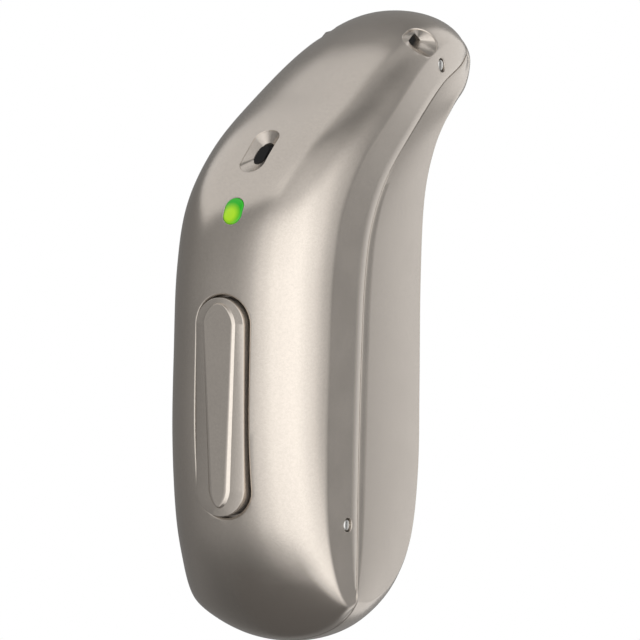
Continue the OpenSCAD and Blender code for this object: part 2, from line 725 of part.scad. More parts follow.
spine_cover();
base_shell();
rocker_button();
rocker_axle();
upper_switch();
lower_switch();
snap_domes();
switch_board();
light_guide();
indicator_led();
rear_microphone();
front_microphone();
microphone_gaskets();
inlet_screens();
inner_frame();
main_board();
signal_processor();
radio_chip();
charge_controller();
board_components();
antenna();
telecoil();
battery_cell();
battery_tabs();
charging_coil();
ferrite_sheet();
speaker_socket();
socket_contacts();
socket_seal();
speaker_lock_pin();
base_pins();
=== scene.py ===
import math

import bmesh
import bpy
from bpy.props import FloatProperty, FloatVectorProperty, IntProperty, PointerProperty
from mathutils import Matrix, Vector


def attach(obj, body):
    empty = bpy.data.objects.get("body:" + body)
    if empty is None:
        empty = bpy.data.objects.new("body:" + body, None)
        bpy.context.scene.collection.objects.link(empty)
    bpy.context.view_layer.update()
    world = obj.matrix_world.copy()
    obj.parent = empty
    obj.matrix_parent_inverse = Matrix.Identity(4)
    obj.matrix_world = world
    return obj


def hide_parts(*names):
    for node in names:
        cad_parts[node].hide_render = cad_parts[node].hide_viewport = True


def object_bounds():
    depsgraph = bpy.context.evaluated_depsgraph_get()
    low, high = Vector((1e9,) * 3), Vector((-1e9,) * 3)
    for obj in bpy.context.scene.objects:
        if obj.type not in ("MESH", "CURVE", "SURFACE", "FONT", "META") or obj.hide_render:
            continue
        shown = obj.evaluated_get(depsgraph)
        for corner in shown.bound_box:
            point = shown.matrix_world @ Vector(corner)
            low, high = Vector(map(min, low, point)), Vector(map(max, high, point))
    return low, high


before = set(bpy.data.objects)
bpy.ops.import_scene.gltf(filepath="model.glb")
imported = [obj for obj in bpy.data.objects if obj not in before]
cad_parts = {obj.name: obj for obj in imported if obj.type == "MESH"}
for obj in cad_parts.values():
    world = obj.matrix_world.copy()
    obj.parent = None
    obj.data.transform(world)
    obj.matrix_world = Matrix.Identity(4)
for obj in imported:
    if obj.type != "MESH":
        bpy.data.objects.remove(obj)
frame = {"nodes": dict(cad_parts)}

CAD_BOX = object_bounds()

bl_info = {
    "name": "Behind-the-ear hearing aid",
    "version": (1, 0, 0),
    "blender": (4, 5, 0),
    "location": "View3D > Sidebar > Hearing aid",
    "description": "Dresses a hearing aid's housing, button, inlets, light, pins and insides",
    "category": "Object",
}

# Everything is drawn in millimetres with the spine at y = 0 and the foot at z = 0, then
# moved so that the origin is the seat on the ear, and scaled to metres.
MM = 0.001

# The housing's outline as stations: the middle line y and z, the edge of the cheek y and
# z, the half width, the facet, the exponent of the section's curve and how far round that
# curve it is cut off. Lengths are shares of the depth, the height, half the thickness and
# the facet's width.
SPINE_SHARES = (
    (0.437, 0.003, 0.425, 0.071, 1.00, 0.00, 2.0, 0.26),
    (0.290, 0.039, 0.425, 0.100, 1.00, 0.48, 2.0, 0.29),
    (0.135, 0.106, 0.429, 0.146, 1.00, 0.78, 2.15, 0.37),
    (0.028, 0.196, 0.433, 0.211, 1.00, 0.95, 2.65, 0.46),
    (-0.016, 0.324, 0.444, 0.332, 1.00, 1.00, 3.0, 0.50),
    (-0.012, 0.470, 0.464, 0.470, 1.00, 1.00, 3.0, 0.50),
    (0.012, 0.608, 0.488, 0.575, 1.00, 1.00, 3.0, 0.50),
    (0.107, 0.712, 0.540, 0.661, 1.00, 0.96, 3.0, 0.50),
    (0.328, 0.801, 0.675, 0.737, 0.98, 0.85, 2.8, 0.46),
    (0.634, 0.876, 0.929, 0.814, 0.93, 0.74, 2.6, 0.40),
    (0.976, 0.949, 1.190, 0.875, 0.84, 0.66, 2.3, 0.34),
    (1.310, 0.992, 1.397, 0.904, 0.75, 0.51, 2.1, 0.30),
    (1.579, 0.969, 1.508, 0.921, 0.66, 0.00, 2.0, 0.28),
)
EAR_SHARES = (
    (1.579, 0.969, 1.508, 0.921, 0.66, 0, 2.0, 0.28),
    (1.627, 0.917, 1.508, 0.908, 0.68, 0, 2.2, 0.12),
    (1.468, 0.859, 1.405, 0.877, 0.80, 0, 2.6, 0.12),
    (1.270, 0.827, 1.238, 0.843, 0.91, 0, 2.6, 0.12),
    (1.111, 0.778, 1.083, 0.784, 0.94, 0, 2.6, 0.12),
    (1.016, 0.697, 0.984, 0.700, 0.955, 0, 2.6, 0.12),
    (0.984, 0.567, 0.956, 0.567, 0.95, 0, 2.6, 0.12),
    (0.976, 0.405, 0.948, 0.405, 0.95, 0, 2.6, 0.12),
    (0.964, 0.259, 0.937, 0.267, 0.95, 0, 2.5, 0.14),
    (0.929, 0.136, 0.881, 0.162, 0.95, 0, 2.3, 0.18),
    (0.817, 0.052, 0.754, 0.100, 0.96, 0, 2.1, 0.22),
    (0.627, 0.006, 0.575, 0.070, 0.98, 0, 2.0, 0.25),
    (0.437, 0.003, 0.425, 0.071, 1.00, 0, 2.0, 0.26),
)
LAST = len(SPINE_SHARES) - 1

# Stations of what sits on the spine, and of the speaker socket and the seat on the ear side
BUTTON, WINDOW, SLOT, CHANNEL = 4.42, 6.79, 7.8, 10.35
BASE_PIN, LOCK_PIN = 2.83, 10.33
SOCKET, SEAT = 1, 4.5

# Step between stations that gives a slope, and the decimals that a length is read to
SLOPE_STEP = 0.05
DIGITS = 4

# Sections: the least facet in mm, the most of the span that it takes, the steps of the
# curve, and the most of the facet and of the curve's last step that the crease takes
LEAST_FACET, FACET_SHARE, CURVE_STEPS = 0.06, 0.6, 160
CREASE_OF_FACET, CREASE_OF_STEP = 0.3, 0.7

# In mm: edges shorter than SLIVER go. A cutter stands OUTWARD of the surface that it cuts,
# and a point within ON_WALL of its wall, and no deeper than DEEPEST, belongs to it.
SLIVER, OUTWARD, ON_WALL, DEEPEST = 0.001, 0.45, 0.02, 8

# In mm: rounded edges of the small holes, the scoops and the speaker socket's opening
HOLE_LIP, SCOOP_LIP, SOCKET_LIP = 0.03, 0.05, 0.1

# Shares of the shell's wall: how deep an opening's own straight wall goes, how far a
# cutter reaches in through the cover and through the nose of the base, how far it stands
# out of the base, and how deep the pocket round the button is
BUTTON_WALL, HOLE_WALL, SOCKET_WALL, SLOT_FLOOR = 0.6, 0.5, 0.7, 0.75
COVER_CUT, NOSE_CUT, NOSE_OUTWARD, POCKET = 2, 8, 3, 4

# Material slots of a shell: its outside, the walls that a cutter leaves, the dust screens
CUT_WALL, SCREEN = 1, 2


def hexed(text):
    """An sRGB hex colour as the linear colour that a socket takes."""
    parts = [int(text[k:k + 2], 16) / 255 for k in (1, 3, 5)]
    return [p / 12.92 if p < 0.04045 else ((p + 0.055) / 1.055) ** 2.4 for p in parts] + [1]


def length(name, millimetres, text):
    """A length that the user may change."""
    return FloatProperty(name=name, description=text, default=millimetres * MM,
                         precision=5, unit="LENGTH")


def angle(name, degrees, text):
    """An angle that the user may change."""
    return FloatProperty(name=name, description=text, default=math.radians(degrees),
                         subtype="ANGLE")


def colour(name, value, text):
    """A colour that the user may change, given as an sRGB hex value."""
    return FloatVectorProperty(name=name, description=text, default=hexed(value), size=4,
                               subtype="COLOR", min=0, max=1)


class HousingSizes(bpy.types.PropertyGroup):
    """Outer sizes of the housing and its two shells"""
    height: length("Height", 31.6, "Height of the housing")
    depth: length("Depth", 12.9, "Depth of its straight lower half")
    thickness: length("Thickness", 9.0, "Thickness across the cheeks")
    wall: length("Wall", 0.8, "Wall of both shells")
    facet: length("Facet", 2.8, "Width of the facet beside each cheek")
    facet_angle: angle("Facet angle", 4, "Angle of the facet to the cheek")
    seam: length("Seam", 0.05, "Gap of the parting line")
    crease: length("Crease", 0.16, "Length over which the facet's crease is rounded")
    edge: length("Edge", 0.04, "Rounding of the cover's edge at the parting line")
    seam_catch: length("Seam catch", 0.1, "Rounding of the base's edge there")
    rings: IntProperty(name="Rings", description="Rings per station", default=12, min=2)
    points: IntProperty(name="Points", description="Points round a quarter section",
                        default=26, min=8)


class ButtonSizes(bpy.types.PropertyGroup):
    """Sizes of the rocker button and its opening"""
    length: length("Length", 10.9, "Length of the rocker button")
    width: length("Width", 2.74, "Width of the rocker button")
    gap: length("Gap", 0.12, "Gap between the button and the cover")
    rise: length("Rise", 0.3, "How far its crown stands above the spine")
    lip: length("Lip", 0.13, "Rounding of the opening's edge")
    upper_bevel: length("Upper bevel", 0.56, "Width of the crown's bevel at its top")
    lower_bevel: length("Lower bevel", 0.95, "Width of that bevel at its foot")
    round: length("Crown edge", 0.045, "Rounding of the crown's outer edge")
    ridge: length("Ridge", 0.15, "Height of the step round the crown's flat top")
    flange: length("Flange", 0.28, "Thickness of the flange that keeps it in")
    flange_lip: length("Flange lip", 0.26, "Reach of that flange past the opening")
    throw: angle("Throw", 2, "Furthest that the button rocks")
    axle: length("Axle", 0.6, "Diameter of the axle that it rocks on")


class OpeningSizes(bpy.types.PropertyGroup):
    """Sizes of the inlets, the light window and the socket"""
    slot_l: length("Slot length", 1.35, "Length of the rear microphone slot")
    slot_w: length("Slot width", 0.6, "Width of the rear microphone slot")
    slot_rim: length("Slot rim", 0.37, "How much wider its scoop is on each side")
    slot_scoop: length("Slot scoop", 3.2, "Length of its scoop")
    slot_deep: length("Slot depth", 0.47, "Depth of the slot's mouth in the scoop")
    slot_lean: length("Slot lean", 0.37, "How far the mouth lies up the slope")
    channel: length("Channel", 0.76, "Height of the front microphone's mouth")
    channel_scoop: length("Channel scoop", 0.86, "Radius of the scoop round it")
    channel_run: length("Channel run", 0.25, "Half of how far its scoop is drawn out")
    channel_x: length("Channel offset", 2.95, "Its scoop's distance from the middle")
    channel_deep: length("Channel depth", 0.4, "How far in across its mouth lies")
    window_l: length("Window length", 1.45, "Length of the light window")
    window_w: length("Window width", 1.05, "Width of the light window")
    socket: length("Socket", 2.7, "Outer diameter of the speaker socket")


class PinSizes(bpy.types.PropertyGroup):
    """Sizes of the cross pins"""
    diameter: length("Diameter", 0.6, "Diameter of the cross pins")
    hole: length("Hole", 0.72, "Diameter of their holes in the cover")
    recess: length("Recess", 0.04, "How deep the pin ends lie")
    inset: length("Inset", 0.85, "How far the pins lie behind the parting line")
    inner: length("Inner end", 2.84, "Inner ends of the lower pins, from the middle")


class Finishes(bpy.types.PropertyGroup):
    """Colours of what shows"""
    paint: colour("Lacquer", "#cfc6bc", "Champagne metallic lacquer of the shells")
    steel: colour("Steel", "#d4d3d0", "Turned steel of the pins")
    lens: colour("Lens", "#1fa414", "Light window at its rim")
    lens_core: colour("Lens core", "#a2d41e", "Light window where the lamp shines through")
    dark: colour("Dark", "#0c0b0b", "Acoustic mesh in the inlets")


class StageSettings(bpy.types.PropertyGroup):
    """Floor and camera"""
    floor: colour("Floor", "#f2f1ef", "Pale studio floor")
    azimuth: angle("Azimuth", 30, "Camera's angle round the object")
    elevation: angle("Elevation", 3.5, "Camera's angle above the horizon")
    frame: length("Frame", 32.45, "Width of the photograph at the object")
    centre_right: length("Centre right", -1.995, "Right of the origin at its centre")
    centre_up: length("Centre up", -7.70, "Above the origin at its centre")
    lens: FloatProperty(name="Lens", description="Focal length of the camera", default=600,
                        unit="CAMERA")


class Drawn:
    """One group of settings, with its lengths in the drawing's millimetres."""

    def __init__(self, group):
        for name in type(group).__annotations__:
            value = getattr(group, name)
            if group.bl_rna.properties[name].unit == "LENGTH":
                value = round(value / MM, DIGITS)
            setattr(self, name, value)


def sizes(group):
    """The settings of one group, as this add-on keeps them on the scene."""
    return Drawn(getattr(bpy.context.scene.hearing_aid, group))


# The housing's section and outline

def curve(before, a, b, after, t):
    """A smooth curve through a and b, number by number."""
    return [p1 + (p2 - p0) * t / 2 + (2 * p0 - 5 * p1 + 4 * p2 - p3) * t * t / 2
            + (3 * p1 - p0 - 3 * p2 + p3) * t ** 3 / 2
            for p0, p1, p2, p3 in zip(before, a, b, after)]


def past(end, after, other):
    """The row past a table's end: its middle line runs on into the other table."""
    return other[:2] + tuple(2 * e - a for e, a in zip(end[2:], after[2:]))


def station(table, other, s):
    """One row of the outline in millimetres, at station s."""
    rows = [past(table[0], table[1], other[-2]), *table, past(table[-1], table[-2], other[1])]
    i = min(int(s), LAST - 1)
    y, z, cy, cz, half, facet, power, cut = curve(*rows[i:i + 4], s - i)
    h = sizes("housing")
    return (y * h.depth, z * h.height, cy * h.depth, cz * h.height,
            half * h.thickness / 2, facet * h.facet, power, cut)


def spine(s):
    """The row of the spine's table at station s."""
    return station(SPINE_SHARES, EAR_SHARES, s)


def ear(s):
    """The row of the ear side's table at station s."""
    return station(EAR_SHARES, SPINE_SHARES, s)


def evenly(points, count):
    """count + 1 points at even steps along a path."""
    steps = [0]
    for a, b in zip(points, points[1:]):
        steps.append(steps[-1] + (b - a).length)
    out, k = [], 0
    for i in range(count + 1):
        want = steps[-1] * i / count
        while k < len(points) - 2 and steps[k + 1] < want:
            k += 1
        part = (want - steps[k]) / max(steps[k + 1] - steps[k], 1e-9)
        out.append(points[k].lerp(points[k + 1], min(max(part, 0), 1)))
    return out


def quarter(row):
    """Section of a row from the middle line over the curve and the facet to the cheek."""
    h = sizes("housing")
    y, z, cy, cz, half, facet, power, cut = row
    mid, edge = Vector((0, y, z)), Vector((0, cy, cz))
    span = (mid - edge).length
    facet = max(LEAST_FACET, min(facet, FACET_SHARE * span))
    knee = edge + (mid - edge) / span * facet * math.cos(h.facet_angle)
    knee_x = half - facet * math.sin(h.facet_angle)
    centre = (knee - mid * cut) / (1 - cut)
    wide = knee_x / (1 - cut ** power) ** (1 / power)
    turn = math.acos(cut ** (power / 2))
    path = []
    for i in range(CURVE_STEPS + 1):
        w = turn * (i / CURVE_STEPS) ** 2
        p = centre + (mid - centre) * math.cos(w) ** (2 / power)
        p.x = wide * math.sin(w) ** (2 / power)
        path.append(p)
    knee.x, edge.x = knee_x, half
    arc = evenly(path, h.points)
    # the crease is rounded by a short arc that replaces the corner
    reach = min(h.crease, CREASE_OF_FACET * facet, CREASE_OF_STEP * (arc[-2] - knee).length)
    back = (arc[-2] - knee).normalized() * reach
    ahead = (edge - knee).normalized() * reach
    bend = [knee + back * (1 - t) ** 2 + ahead * t * t for t in (0, 0.25, 0.5, 0.75, 1)]
    flat = [bend[-1].lerp(edge, t / 4) for t in range(1, 5)]
    return arc[:-1] + bend + flat


def mirrored(half_row):
    """A half section and its mirror image, from one side to the other."""
    other = [Vector((-p.x, p.y, p.z)) for p in half_row[:0:-1]]
    return other + list(half_row)


def moved(row, step, edge_step, narrower):
    """A row moved by a step in y and z, its cheek edge by another, and made narrower."""
    return (row[0] + step[0], row[1] + step[1], row[2] + edge_step[0], row[3] + edge_step[1],
            row[4] - narrower, row[5], row[6], row[7])


def stations():
    """Stations of all rings, from one end of a table to the other."""
    steps = LAST * sizes("housing").rings
    return [LAST * k / steps for k in range(steps + 1)]


def cover_rows(inside):
    """Rings of the spine cover, from the foot to the nose."""
    wall = sizes("housing").wall if inside else 0
    rows = []
    for s in stations():
        row = spine(s)
        step = Vector((row[2] - row[0], row[3] - row[1])).normalized() * wall
        rows.append(mirrored(quarter(moved(row, step, (0, 0), wall))))
    return rows


def crowned(edge, seam, count=8):
    """A cheek's line from its ear edge to the parting line, which it meets upright."""
    line = [edge.lerp(seam, t / count) for t in range(1, count + 1)]
    for t, p in enumerate(line, 1):
        p.x = seam.x + (edge.x - seam.x) * (1 - t / count) ** 2
    return line


def base_rows(inside):
    """Rings of the base shell, from the nose round the ear side to the foot."""
    h = sizes("housing")
    wall = h.wall if inside else 0
    at = stations()
    ears, spines = [ear(s) for s in at], [spine(LAST - s) for s in at]
    rows = []
    for i, (row, over) in enumerate(zip(ears, spines)):
        a, b = ears[max(i - 1, 0)], ears[min(i + 1, len(at) - 1)]
        tangent = Vector((b[0] - a[0], b[1] - a[1])).normalized()
        share = min(1, at[i], LAST - at[i])
        across = Vector((row[2] - row[0], row[3] - row[1])).normalized()
        way = (Vector((tangent.y, -tangent.x)) * share + across * (1 - share)).normalized()
        inner = moved(row, way * wall, way * wall * share, wall)
        seam, edge = Vector(over[2:4]), Vector(row[2:4])
        apart = (edge - seam).length
        if apart > 0:
            seam += (edge - seam) * min(h.seam / apart, 0.5)
        half = quarter(inner)
        end = Vector((over[4] - wall, seam.x, seam.y))
        rows.append(mirrored(half + crowned(half[-1], end)))
    return rows


def on_spine(s):
    """Frame on the spine: X across, Y into the body, Z along it towards the nose."""
    a, b, p = spine(s - SLOPE_STEP), spine(s + SLOPE_STEP), spine(s)
    tilt = math.atan2(b[1] - a[1], b[0] - a[0]) - math.pi / 2
    return Matrix.Translation((0, p[0], p[1])) @ Matrix.Rotation(tilt, 4, "X")


def facet_place(s):
    """Where a cross pin comes out of the facet."""
    h, inset = sizes("housing"), sizes("pins").inset
    row = spine(s)
    mid, edge = Vector(row[:2]), Vector(row[2:4])
    p = edge + (mid - edge).normalized() * inset
    return Vector((row[4] - inset * math.sin(h.facet_angle), p.x, p.y))


def seat():
    """Moves a mesh from the drawing in millimetres to the object's own frame in metres."""
    row = ear(SEAT)
    return Matrix.Scale(MM, 4) @ Matrix.Translation((0, -row[0], -row[1]))


# Mesh building

def sheet(bm, rows):
    """A grid of quads through rows of points."""
    m, n = len(rows), len(rows[0])
    made = bmesh.ops.create_grid(bm, x_segments=n - 1, y_segments=m - 1, size=1)["verts"]
    for v in made:
        j, i = round((v.co.x + 1) / 2 * (n - 1)), round((v.co.y + 1) / 2 * (m - 1))
        v.co = rows[i][j]
    return made


def border(verts):
    """Edges on the open border of these vertices."""
    return list({e for v in verts for e in v.link_edges if e.is_boundary})


def rolled(line, under, reach):
    """A line of points whose two ends are rounded over towards the points under them."""
    out = list(line)
    for last, inside, at in ((out[0], out[1], 0), (out[-1], out[-2], len(out))):
        along = (inside - last).normalized() * min(reach, (inside - last).length / 2)
        down = (under[0 if at == 0 else -1] - last).normalized() * reach
        turn = [last + along, last + (along + down) / 4, last + down]
        if at:
            out[-1:] = turn
        else:
            out[:1] = turn[::-1]
    return out


def split_ends(line):
    """A line of points with two more in each of its end segments."""
    a, b, y, z = line[0], line[1], line[-2], line[-1]
    return ([a, a.lerp(b, 1 / 3), a.lerp(b, 2 / 3)] + list(line[1:-1])
            + [y.lerp(z, 1 / 3), y.lerp(z, 2 / 3), z])


def turned(rows):
    """Rows as columns."""
    return [list(line) for line in zip(*rows)]


def shell(outer, inner, reach):
    """A wall between two grids, closed round its border, with its outer edge rounded."""
    for _ in range(2):
        outer = turned([rolled(line, under, reach) for line, under in zip(outer, inner)])
        inner = turned([split_ends(line) for line in inner])
    bm = bmesh.new()
    rims = border(sheet(bm, outer)) + border(sheet(bm, inner))
    bmesh.ops.bridge_loops(bm, edges=rims)
    bmesh.ops.dissolve_degenerate(bm, edges=bm.edges, dist=SLIVER)
    bmesh.ops.recalc_face_normals(bm, faces=bm.faces)
    return bm


def drawn_out(bm, loop):
    """Extrudes a ring of vertices, and returns the new ring in the same order."""
    edges = [bm.edges.get(pair) for pair in zip(loop, loop[1:] + loop[:1])]
    made = bmesh.ops.extrude_edge_only(bm, edges=edges)["geom"]
    fresh = {g for g in made if isinstance(g, bmesh.types.BMVert)}
    return [next(e.other_vert(v) for e in v.link_edges if e.other_vert(v) in fresh)
            for v in loop]


def stack(bm, rings, material=0):
    """A closed body through rings of equal counts, with a face at each end."""
    loop = bmesh.ops.create_circle(bm, segments=len(rings[0]), radius=1)["verts"]
    before = set(bm.faces)
    for v, p in zip(loop, rings[0]):
        v.co = p
    first = loop
    for ring in rings[1:]:
        loop = drawn_out(bm, loop)
        for v, p in zip(loop, ring):
            v.co = p
    bm.faces.new(first)
    bm.faces.new(loop)
    for f in set(bm.faces) - before:
        f.material_index = material


class Opening:
    """A round or long hole: its frame, the half run between its ends and its radius."""

    def __init__(self, place, run, radius, rounding, through=True):
        self.place, self.run, self.radius = place, run, radius
        self.rounding, self.through = rounding, through
        self.back = place.inverted()

    def ring(self, radius, depth, run=None, count=48):
        """Points round the opening at one depth."""
        run = self.run if run is None else run
        points = []
        for k in range(count):
            a = 2 * math.pi * (k + 0.5) / count
            x, z = radius * math.cos(a), radius * math.sin(a)
            points.append(self.place @ Vector((x, depth, z + math.copysign(run, z))))
        return points

    def split(self, co):
        """A point as the centre that it goes round, its direction and its depth."""
        p = self.back @ co
        centre = max(-self.run, min(self.run, p.z))
        way = Vector((p.x, 0, p.z - centre))
        return centre, way.normalized(), way.length, p.y

    def owns(self, co):
        """True if a point lies on the wall that this opening's cutter left."""
        away, depth = self.split(co)[2:]
        return abs(away - self.radius - self.rounding) < ON_WALL and abs(depth) < DEEPEST


def carve(bm, openings, inward, outward):
    """Cuts the openings, and takes the cutters' walls away again."""
    for o in openings:
        tool = bmesh.new()
        wide = o.radius + o.rounding
        end = inward if o.through else outward
        stack(tool, [o.ring(wide, -outward), o.ring(wide, end)], CUT_WALL)
        bmesh.ops.recalc_face_normals(tool, faces=tool.faces)
        cut(bm, tool)
    gone = [f for f in bm.faces if f.material_index == CUT_WALL]
    bmesh.ops.delete(bm, geom=gone, context="FACES")


def cut(bm, tool):
    """Takes one mesh out of another with an exact Boolean."""
    stand_ins = [bpy.data.materials.new(name) for name in ("wall", "cutter")]
    held = [bpy.data.meshes.new("cut_work") for _ in range(2)]
    for mesh, source in zip(held, (bm, tool)):
        source.to_mesh(mesh)
        for stand_in in stand_ins:
            mesh.materials.append(stand_in)
    work, knife = [bpy.data.objects.new(m.name, m) for m in held]
    for o in (work, knife):
        bpy.context.scene.collection.objects.link(o)
    change = work.modifiers.new("cut", "BOOLEAN")
    change.operation, change.solver, change.object = "DIFFERENCE", "EXACT", knife
    bpy.context.view_layer.update()
    graph = bpy.context.evaluated_depsgraph_get()
    bm.clear()
    bm.from_mesh(work.evaluated_get(graph).data)
    tool.free()
    for o in (work, knife):
        bpy.data.objects.remove(o)
    for mesh in held:
        bpy.data.meshes.remove(mesh)
    for stand_in in stand_ins:
        bpy.data.materials.remove(stand_in)


def loops(bm):
    """Ordered rings of vertices round each open border."""
    left = {e for e in bm.edges if e.is_boundary}
    found = []
    while left:
        e = left.pop()
        ring = [e.verts[0], e.verts[1]]
        while True:
            step = next((x for x in ring[-1].link_edges if x in left), None)
            if step is None:
                break
            left.discard(step)
            ring.append(step.other_vert(ring[-1]))
        if ring[0] is ring[-1]:
            ring.pop()
        found.append(ring)
    return found


def borders_of(bm, opening):
    """The outer and, if it goes through, the inner border of an opening."""
    mine = [r for r in loops(bm) if all(opening.owns(v.co) for v in r)]
    if len(mine) < 1 + opening.through:
        raise RuntimeError("an opening's cutter left no border to finish")
    mine.sort(key=lambda r: sum(opening.split(v.co)[3] for v in r) / len(r))
    return mine


def lip(bm, opening, finish):
    """Rolls an opening's outer border inwards, then draws it through the given rings."""
    mine = borders_of(bm, opening)
    loop = mine[0]
    parts = [opening.split(v.co) for v in loop]
    ease = 0.15  # share of the rounding that stays level with the surface
    turn = [math.radians(a) for a in (18, 36, 54, 72, 90)]
    steps = [(ease, 0)] + [(ease + (1 - ease) * math.sin(a), 1 - math.cos(a)) for a in turn]
    r0 = opening.radius + opening.rounding
    for inward, down in steps:
        loop = drawn_out(bm, loop)
        for v, (centre, way, _, depth) in zip(loop, parts):
            p = way * (r0 - opening.rounding * inward)
            v.co = opening.place @ Vector((p.x, depth + opening.rounding * down, centre + p.z))
    for place_of in finish:
        loop = drawn_out(bm, loop)
        for v, (centre, way, _, depth) in zip(loop, parts):
            v.co = opening.place @ place_of(centre, way, depth)
    if opening.through:
        ends = [bm.edges.get(pair) for r in (loop, mine[1]) for pair in zip(r, r[1:] + r[:1])]
        bmesh.ops.bridge_loops(bm, edges=ends)
    else:
        face = bm.faces.new(loop)
        face.material_index = SCREEN


def straight(opening, depth):
    """A ring of the opening's own outline at a fixed depth."""
    def place_of(centre, way, _):
        return Vector((way.x * opening.radius, depth, centre + way.z * opening.radius))
    return place_of


# Materials

def add(tree, kind, settings=(), sockets=()):
    """Adds a node, with its own settings and its sockets' values or links."""
    made = tree.nodes.new("ShaderNode" + kind)
    for name, value in dict(settings).items():
        setattr(made, name, value)
    for name, value in dict(sockets).items():
        if isinstance(value, bpy.types.NodeSocket):
            tree.links.new(value, made.inputs[name])
        else:
            made.inputs[name].default_value = value
    return made


def material(name, pattern, **values):
    """A material of one Principled shader. pattern gives what varies over the surface, and
    the other values go by their socket's name, such as coat_weight."""
    made = bpy.data.materials.new(name)
    made.use_nodes = True
    tree = made.node_tree
    shader = tree.nodes["Principled BSDF"]
    for key, value in values.items():
        shader.inputs[key.replace("_", " ").title().replace("Ior", "IOR")].default_value = value
    place = add(tree, "TexCoord").outputs["Object"]
    for socket, value in pattern(tree, place).items():
        tree.links.new(value, shader.inputs[socket])
    return made


def shades(tint, dark, light):
    """A darker and a lighter shade of a colour, for a mix node's two colours."""
    return {6: [c * dark for c in tint[:3]] + [1], 7: [min(c * light, 1) for c in tint[:3]] + [1]}


def lacquer():
    """Champagne metallic lacquer sprayed on moulded plastic. Its aluminium flakes lie in a
    clear binder, so it glows softly along the turn of the housing. Real flakes of 0.02 mm
    would not show, so they are drawn 0.07 mm across. A faint orange peel 0.11 mm across
    softens its gloss, which varies a little in patches of 2 mm."""
    tint = sizes("finishes").paint

    def pattern(tree, place):
        flakes = add(tree, "TexVoronoi", sockets={"Vector": place, "Scale": 14 / MM})
        split = add(tree, "SeparateColor", sockets={"Color": flakes.outputs["Color"]})
        colours = add(tree, "Mix", {"data_type": "RGBA"},
                      {0: split.outputs["Red"], **shades(tint, 0.97, 1.03)})
        cloud = add(tree, "TexNoise", sockets={"Vector": place, "Scale": 0.5 / MM})
        rough = add(tree, "MapRange", sockets={"Value": cloud.outputs["Fac"], "From Min": 0.3,
                                               "From Max": 0.7, "To Min": 0.22, "To Max": 0.26})
        peel = add(tree, "TexNoise", sockets={"Vector": place, "Scale": 9 / MM, "Detail": 3})
        bump = add(tree, "Bump", sockets={"Height": peel.outputs["Fac"],
                                          "Distance": 0.0015 * MM, "Strength": 0.22})
        return {"Base Color": colours.outputs[2], "Roughness": rough.outputs["Result"],
                "Normal": bump.outputs["Normal"]}
    return material("champagne_metallic_lacquer", pattern, metallic=0.86, coat_weight=0.18,
                    coat_roughness=0.22)


def mesh_screen():
    """Woven polyester mesh, black: it shows as a dark opening with a faint weave. Its
    meshes are drawn 0.11 mm across, coarser than the real ones, so that they show."""
    tint = sizes("finishes").dark

    def pattern(tree, place):
        weave = add(tree, "TexVoronoi", sockets={"Vector": place, "Scale": 9 / MM})
        colours = add(tree, "Mix", {"data_type": "RGBA"},
                      {0: weave.outputs["Distance"], **shades(tint, 0.4, 1.4)})
        return {"Base Color": colours.outputs[2]}
    return material("black_acoustic_mesh", pattern, roughness=0.9)


def green_lens():
    """Clear polycarbonate lit from below by a green lamp: bright yellow-green over the
    lamp and deeper green at its rim."""
    f = sizes("finishes")
    lamp_left, lamp_down = 0.12, 0.22  # mm from the middle of the window
    spot = seat() @ on_spine(WINDOW) @ Vector((-lamp_left, 0, -lamp_down))
    spread = (0.85 * MM, 0.85 * MM, 1.0 * MM)

    def pattern(tree, place):
        near = add(tree, "Mapping", {"vector_type": "TEXTURE"},
                   {"Vector": place, "Location": spot, "Scale": spread})
        glow = add(tree, "TexGradient", {"gradient_type": "SPHERICAL"},
                   {"Vector": near.outputs["Vector"]})
        share = add(tree, "MapRange", sockets={"Value": glow.outputs["Fac"], "From Min": 0.3,
                                               "From Max": 0.7, "To Min": 0.0, "To Max": 1.0})
        mix = add(tree, "Mix", {"data_type": "RGBA"},
                  {0: share.outputs["Result"], 6: f.lens, 7: f.lens_core})
        return {"Base Color": mix.outputs[2], "Emission Color": mix.outputs[2]}
    return material("lit_green_polycarbonate", pattern, roughness=0.22, emission_strength=0.25,
                    ior=1.58)


def grained(name, tint, per_mm, depth_mm, light=1.12, strength=0.5, **values):
    """A moulded, plated or turned finish with a fine grain, per_mm to the millimetre, and
    a slight unevenness of colour. Grains under 0.05 mm, as on plating and chips, are drawn
    coarser, so that they show."""
    def pattern(tree, place):
        cloud = add(tree, "TexNoise", sockets={"Vector": place, "Scale": per_mm / 3 / MM})
        colours = add(tree, "Mix", {"data_type": "RGBA"},
                      {0: cloud.outputs["Fac"], **shades(tint, 0.85, light)})
        grain = add(tree, "TexNoise", sockets={"Vector": place, "Scale": per_mm / MM})
        bump = add(tree, "Bump", sockets={"Height": grain.outputs["Fac"],
                                          "Distance": depth_mm * MM, "Strength": strength})
        return {"Base Color": colours.outputs[2], "Normal": bump.outputs["Normal"]}
    return material(name, pattern, **values)


def banded(name, tint, line_mm, axis, **values):
    """A wound or printed finish: lines line_mm wide and as far apart, along one axis. Real
    tracks are about 0.1 mm wide and are drawn coarser, so that they show."""
    waves = 0.5 / (line_mm * MM) / math.pi

    def pattern(tree, place):
        lines = add(tree, "TexWave", {"bands_direction": axis}, {"Vector": place, "Scale": waves})
        colours = add(tree, "Mix", {"data_type": "RGBA"},
                      {0: lines.outputs["Fac"], **shades(tint, 0.55, 1.15)})
        bump = add(tree, "Bump", sockets={"Height": lines.outputs["Fac"],
                                          "Distance": line_mm / 4 * MM, "Strength": 0.6})
        return {"Base Color": colours.outputs[2], "Normal": bump.outputs["Normal"]}
    return material(name, pattern, **values)


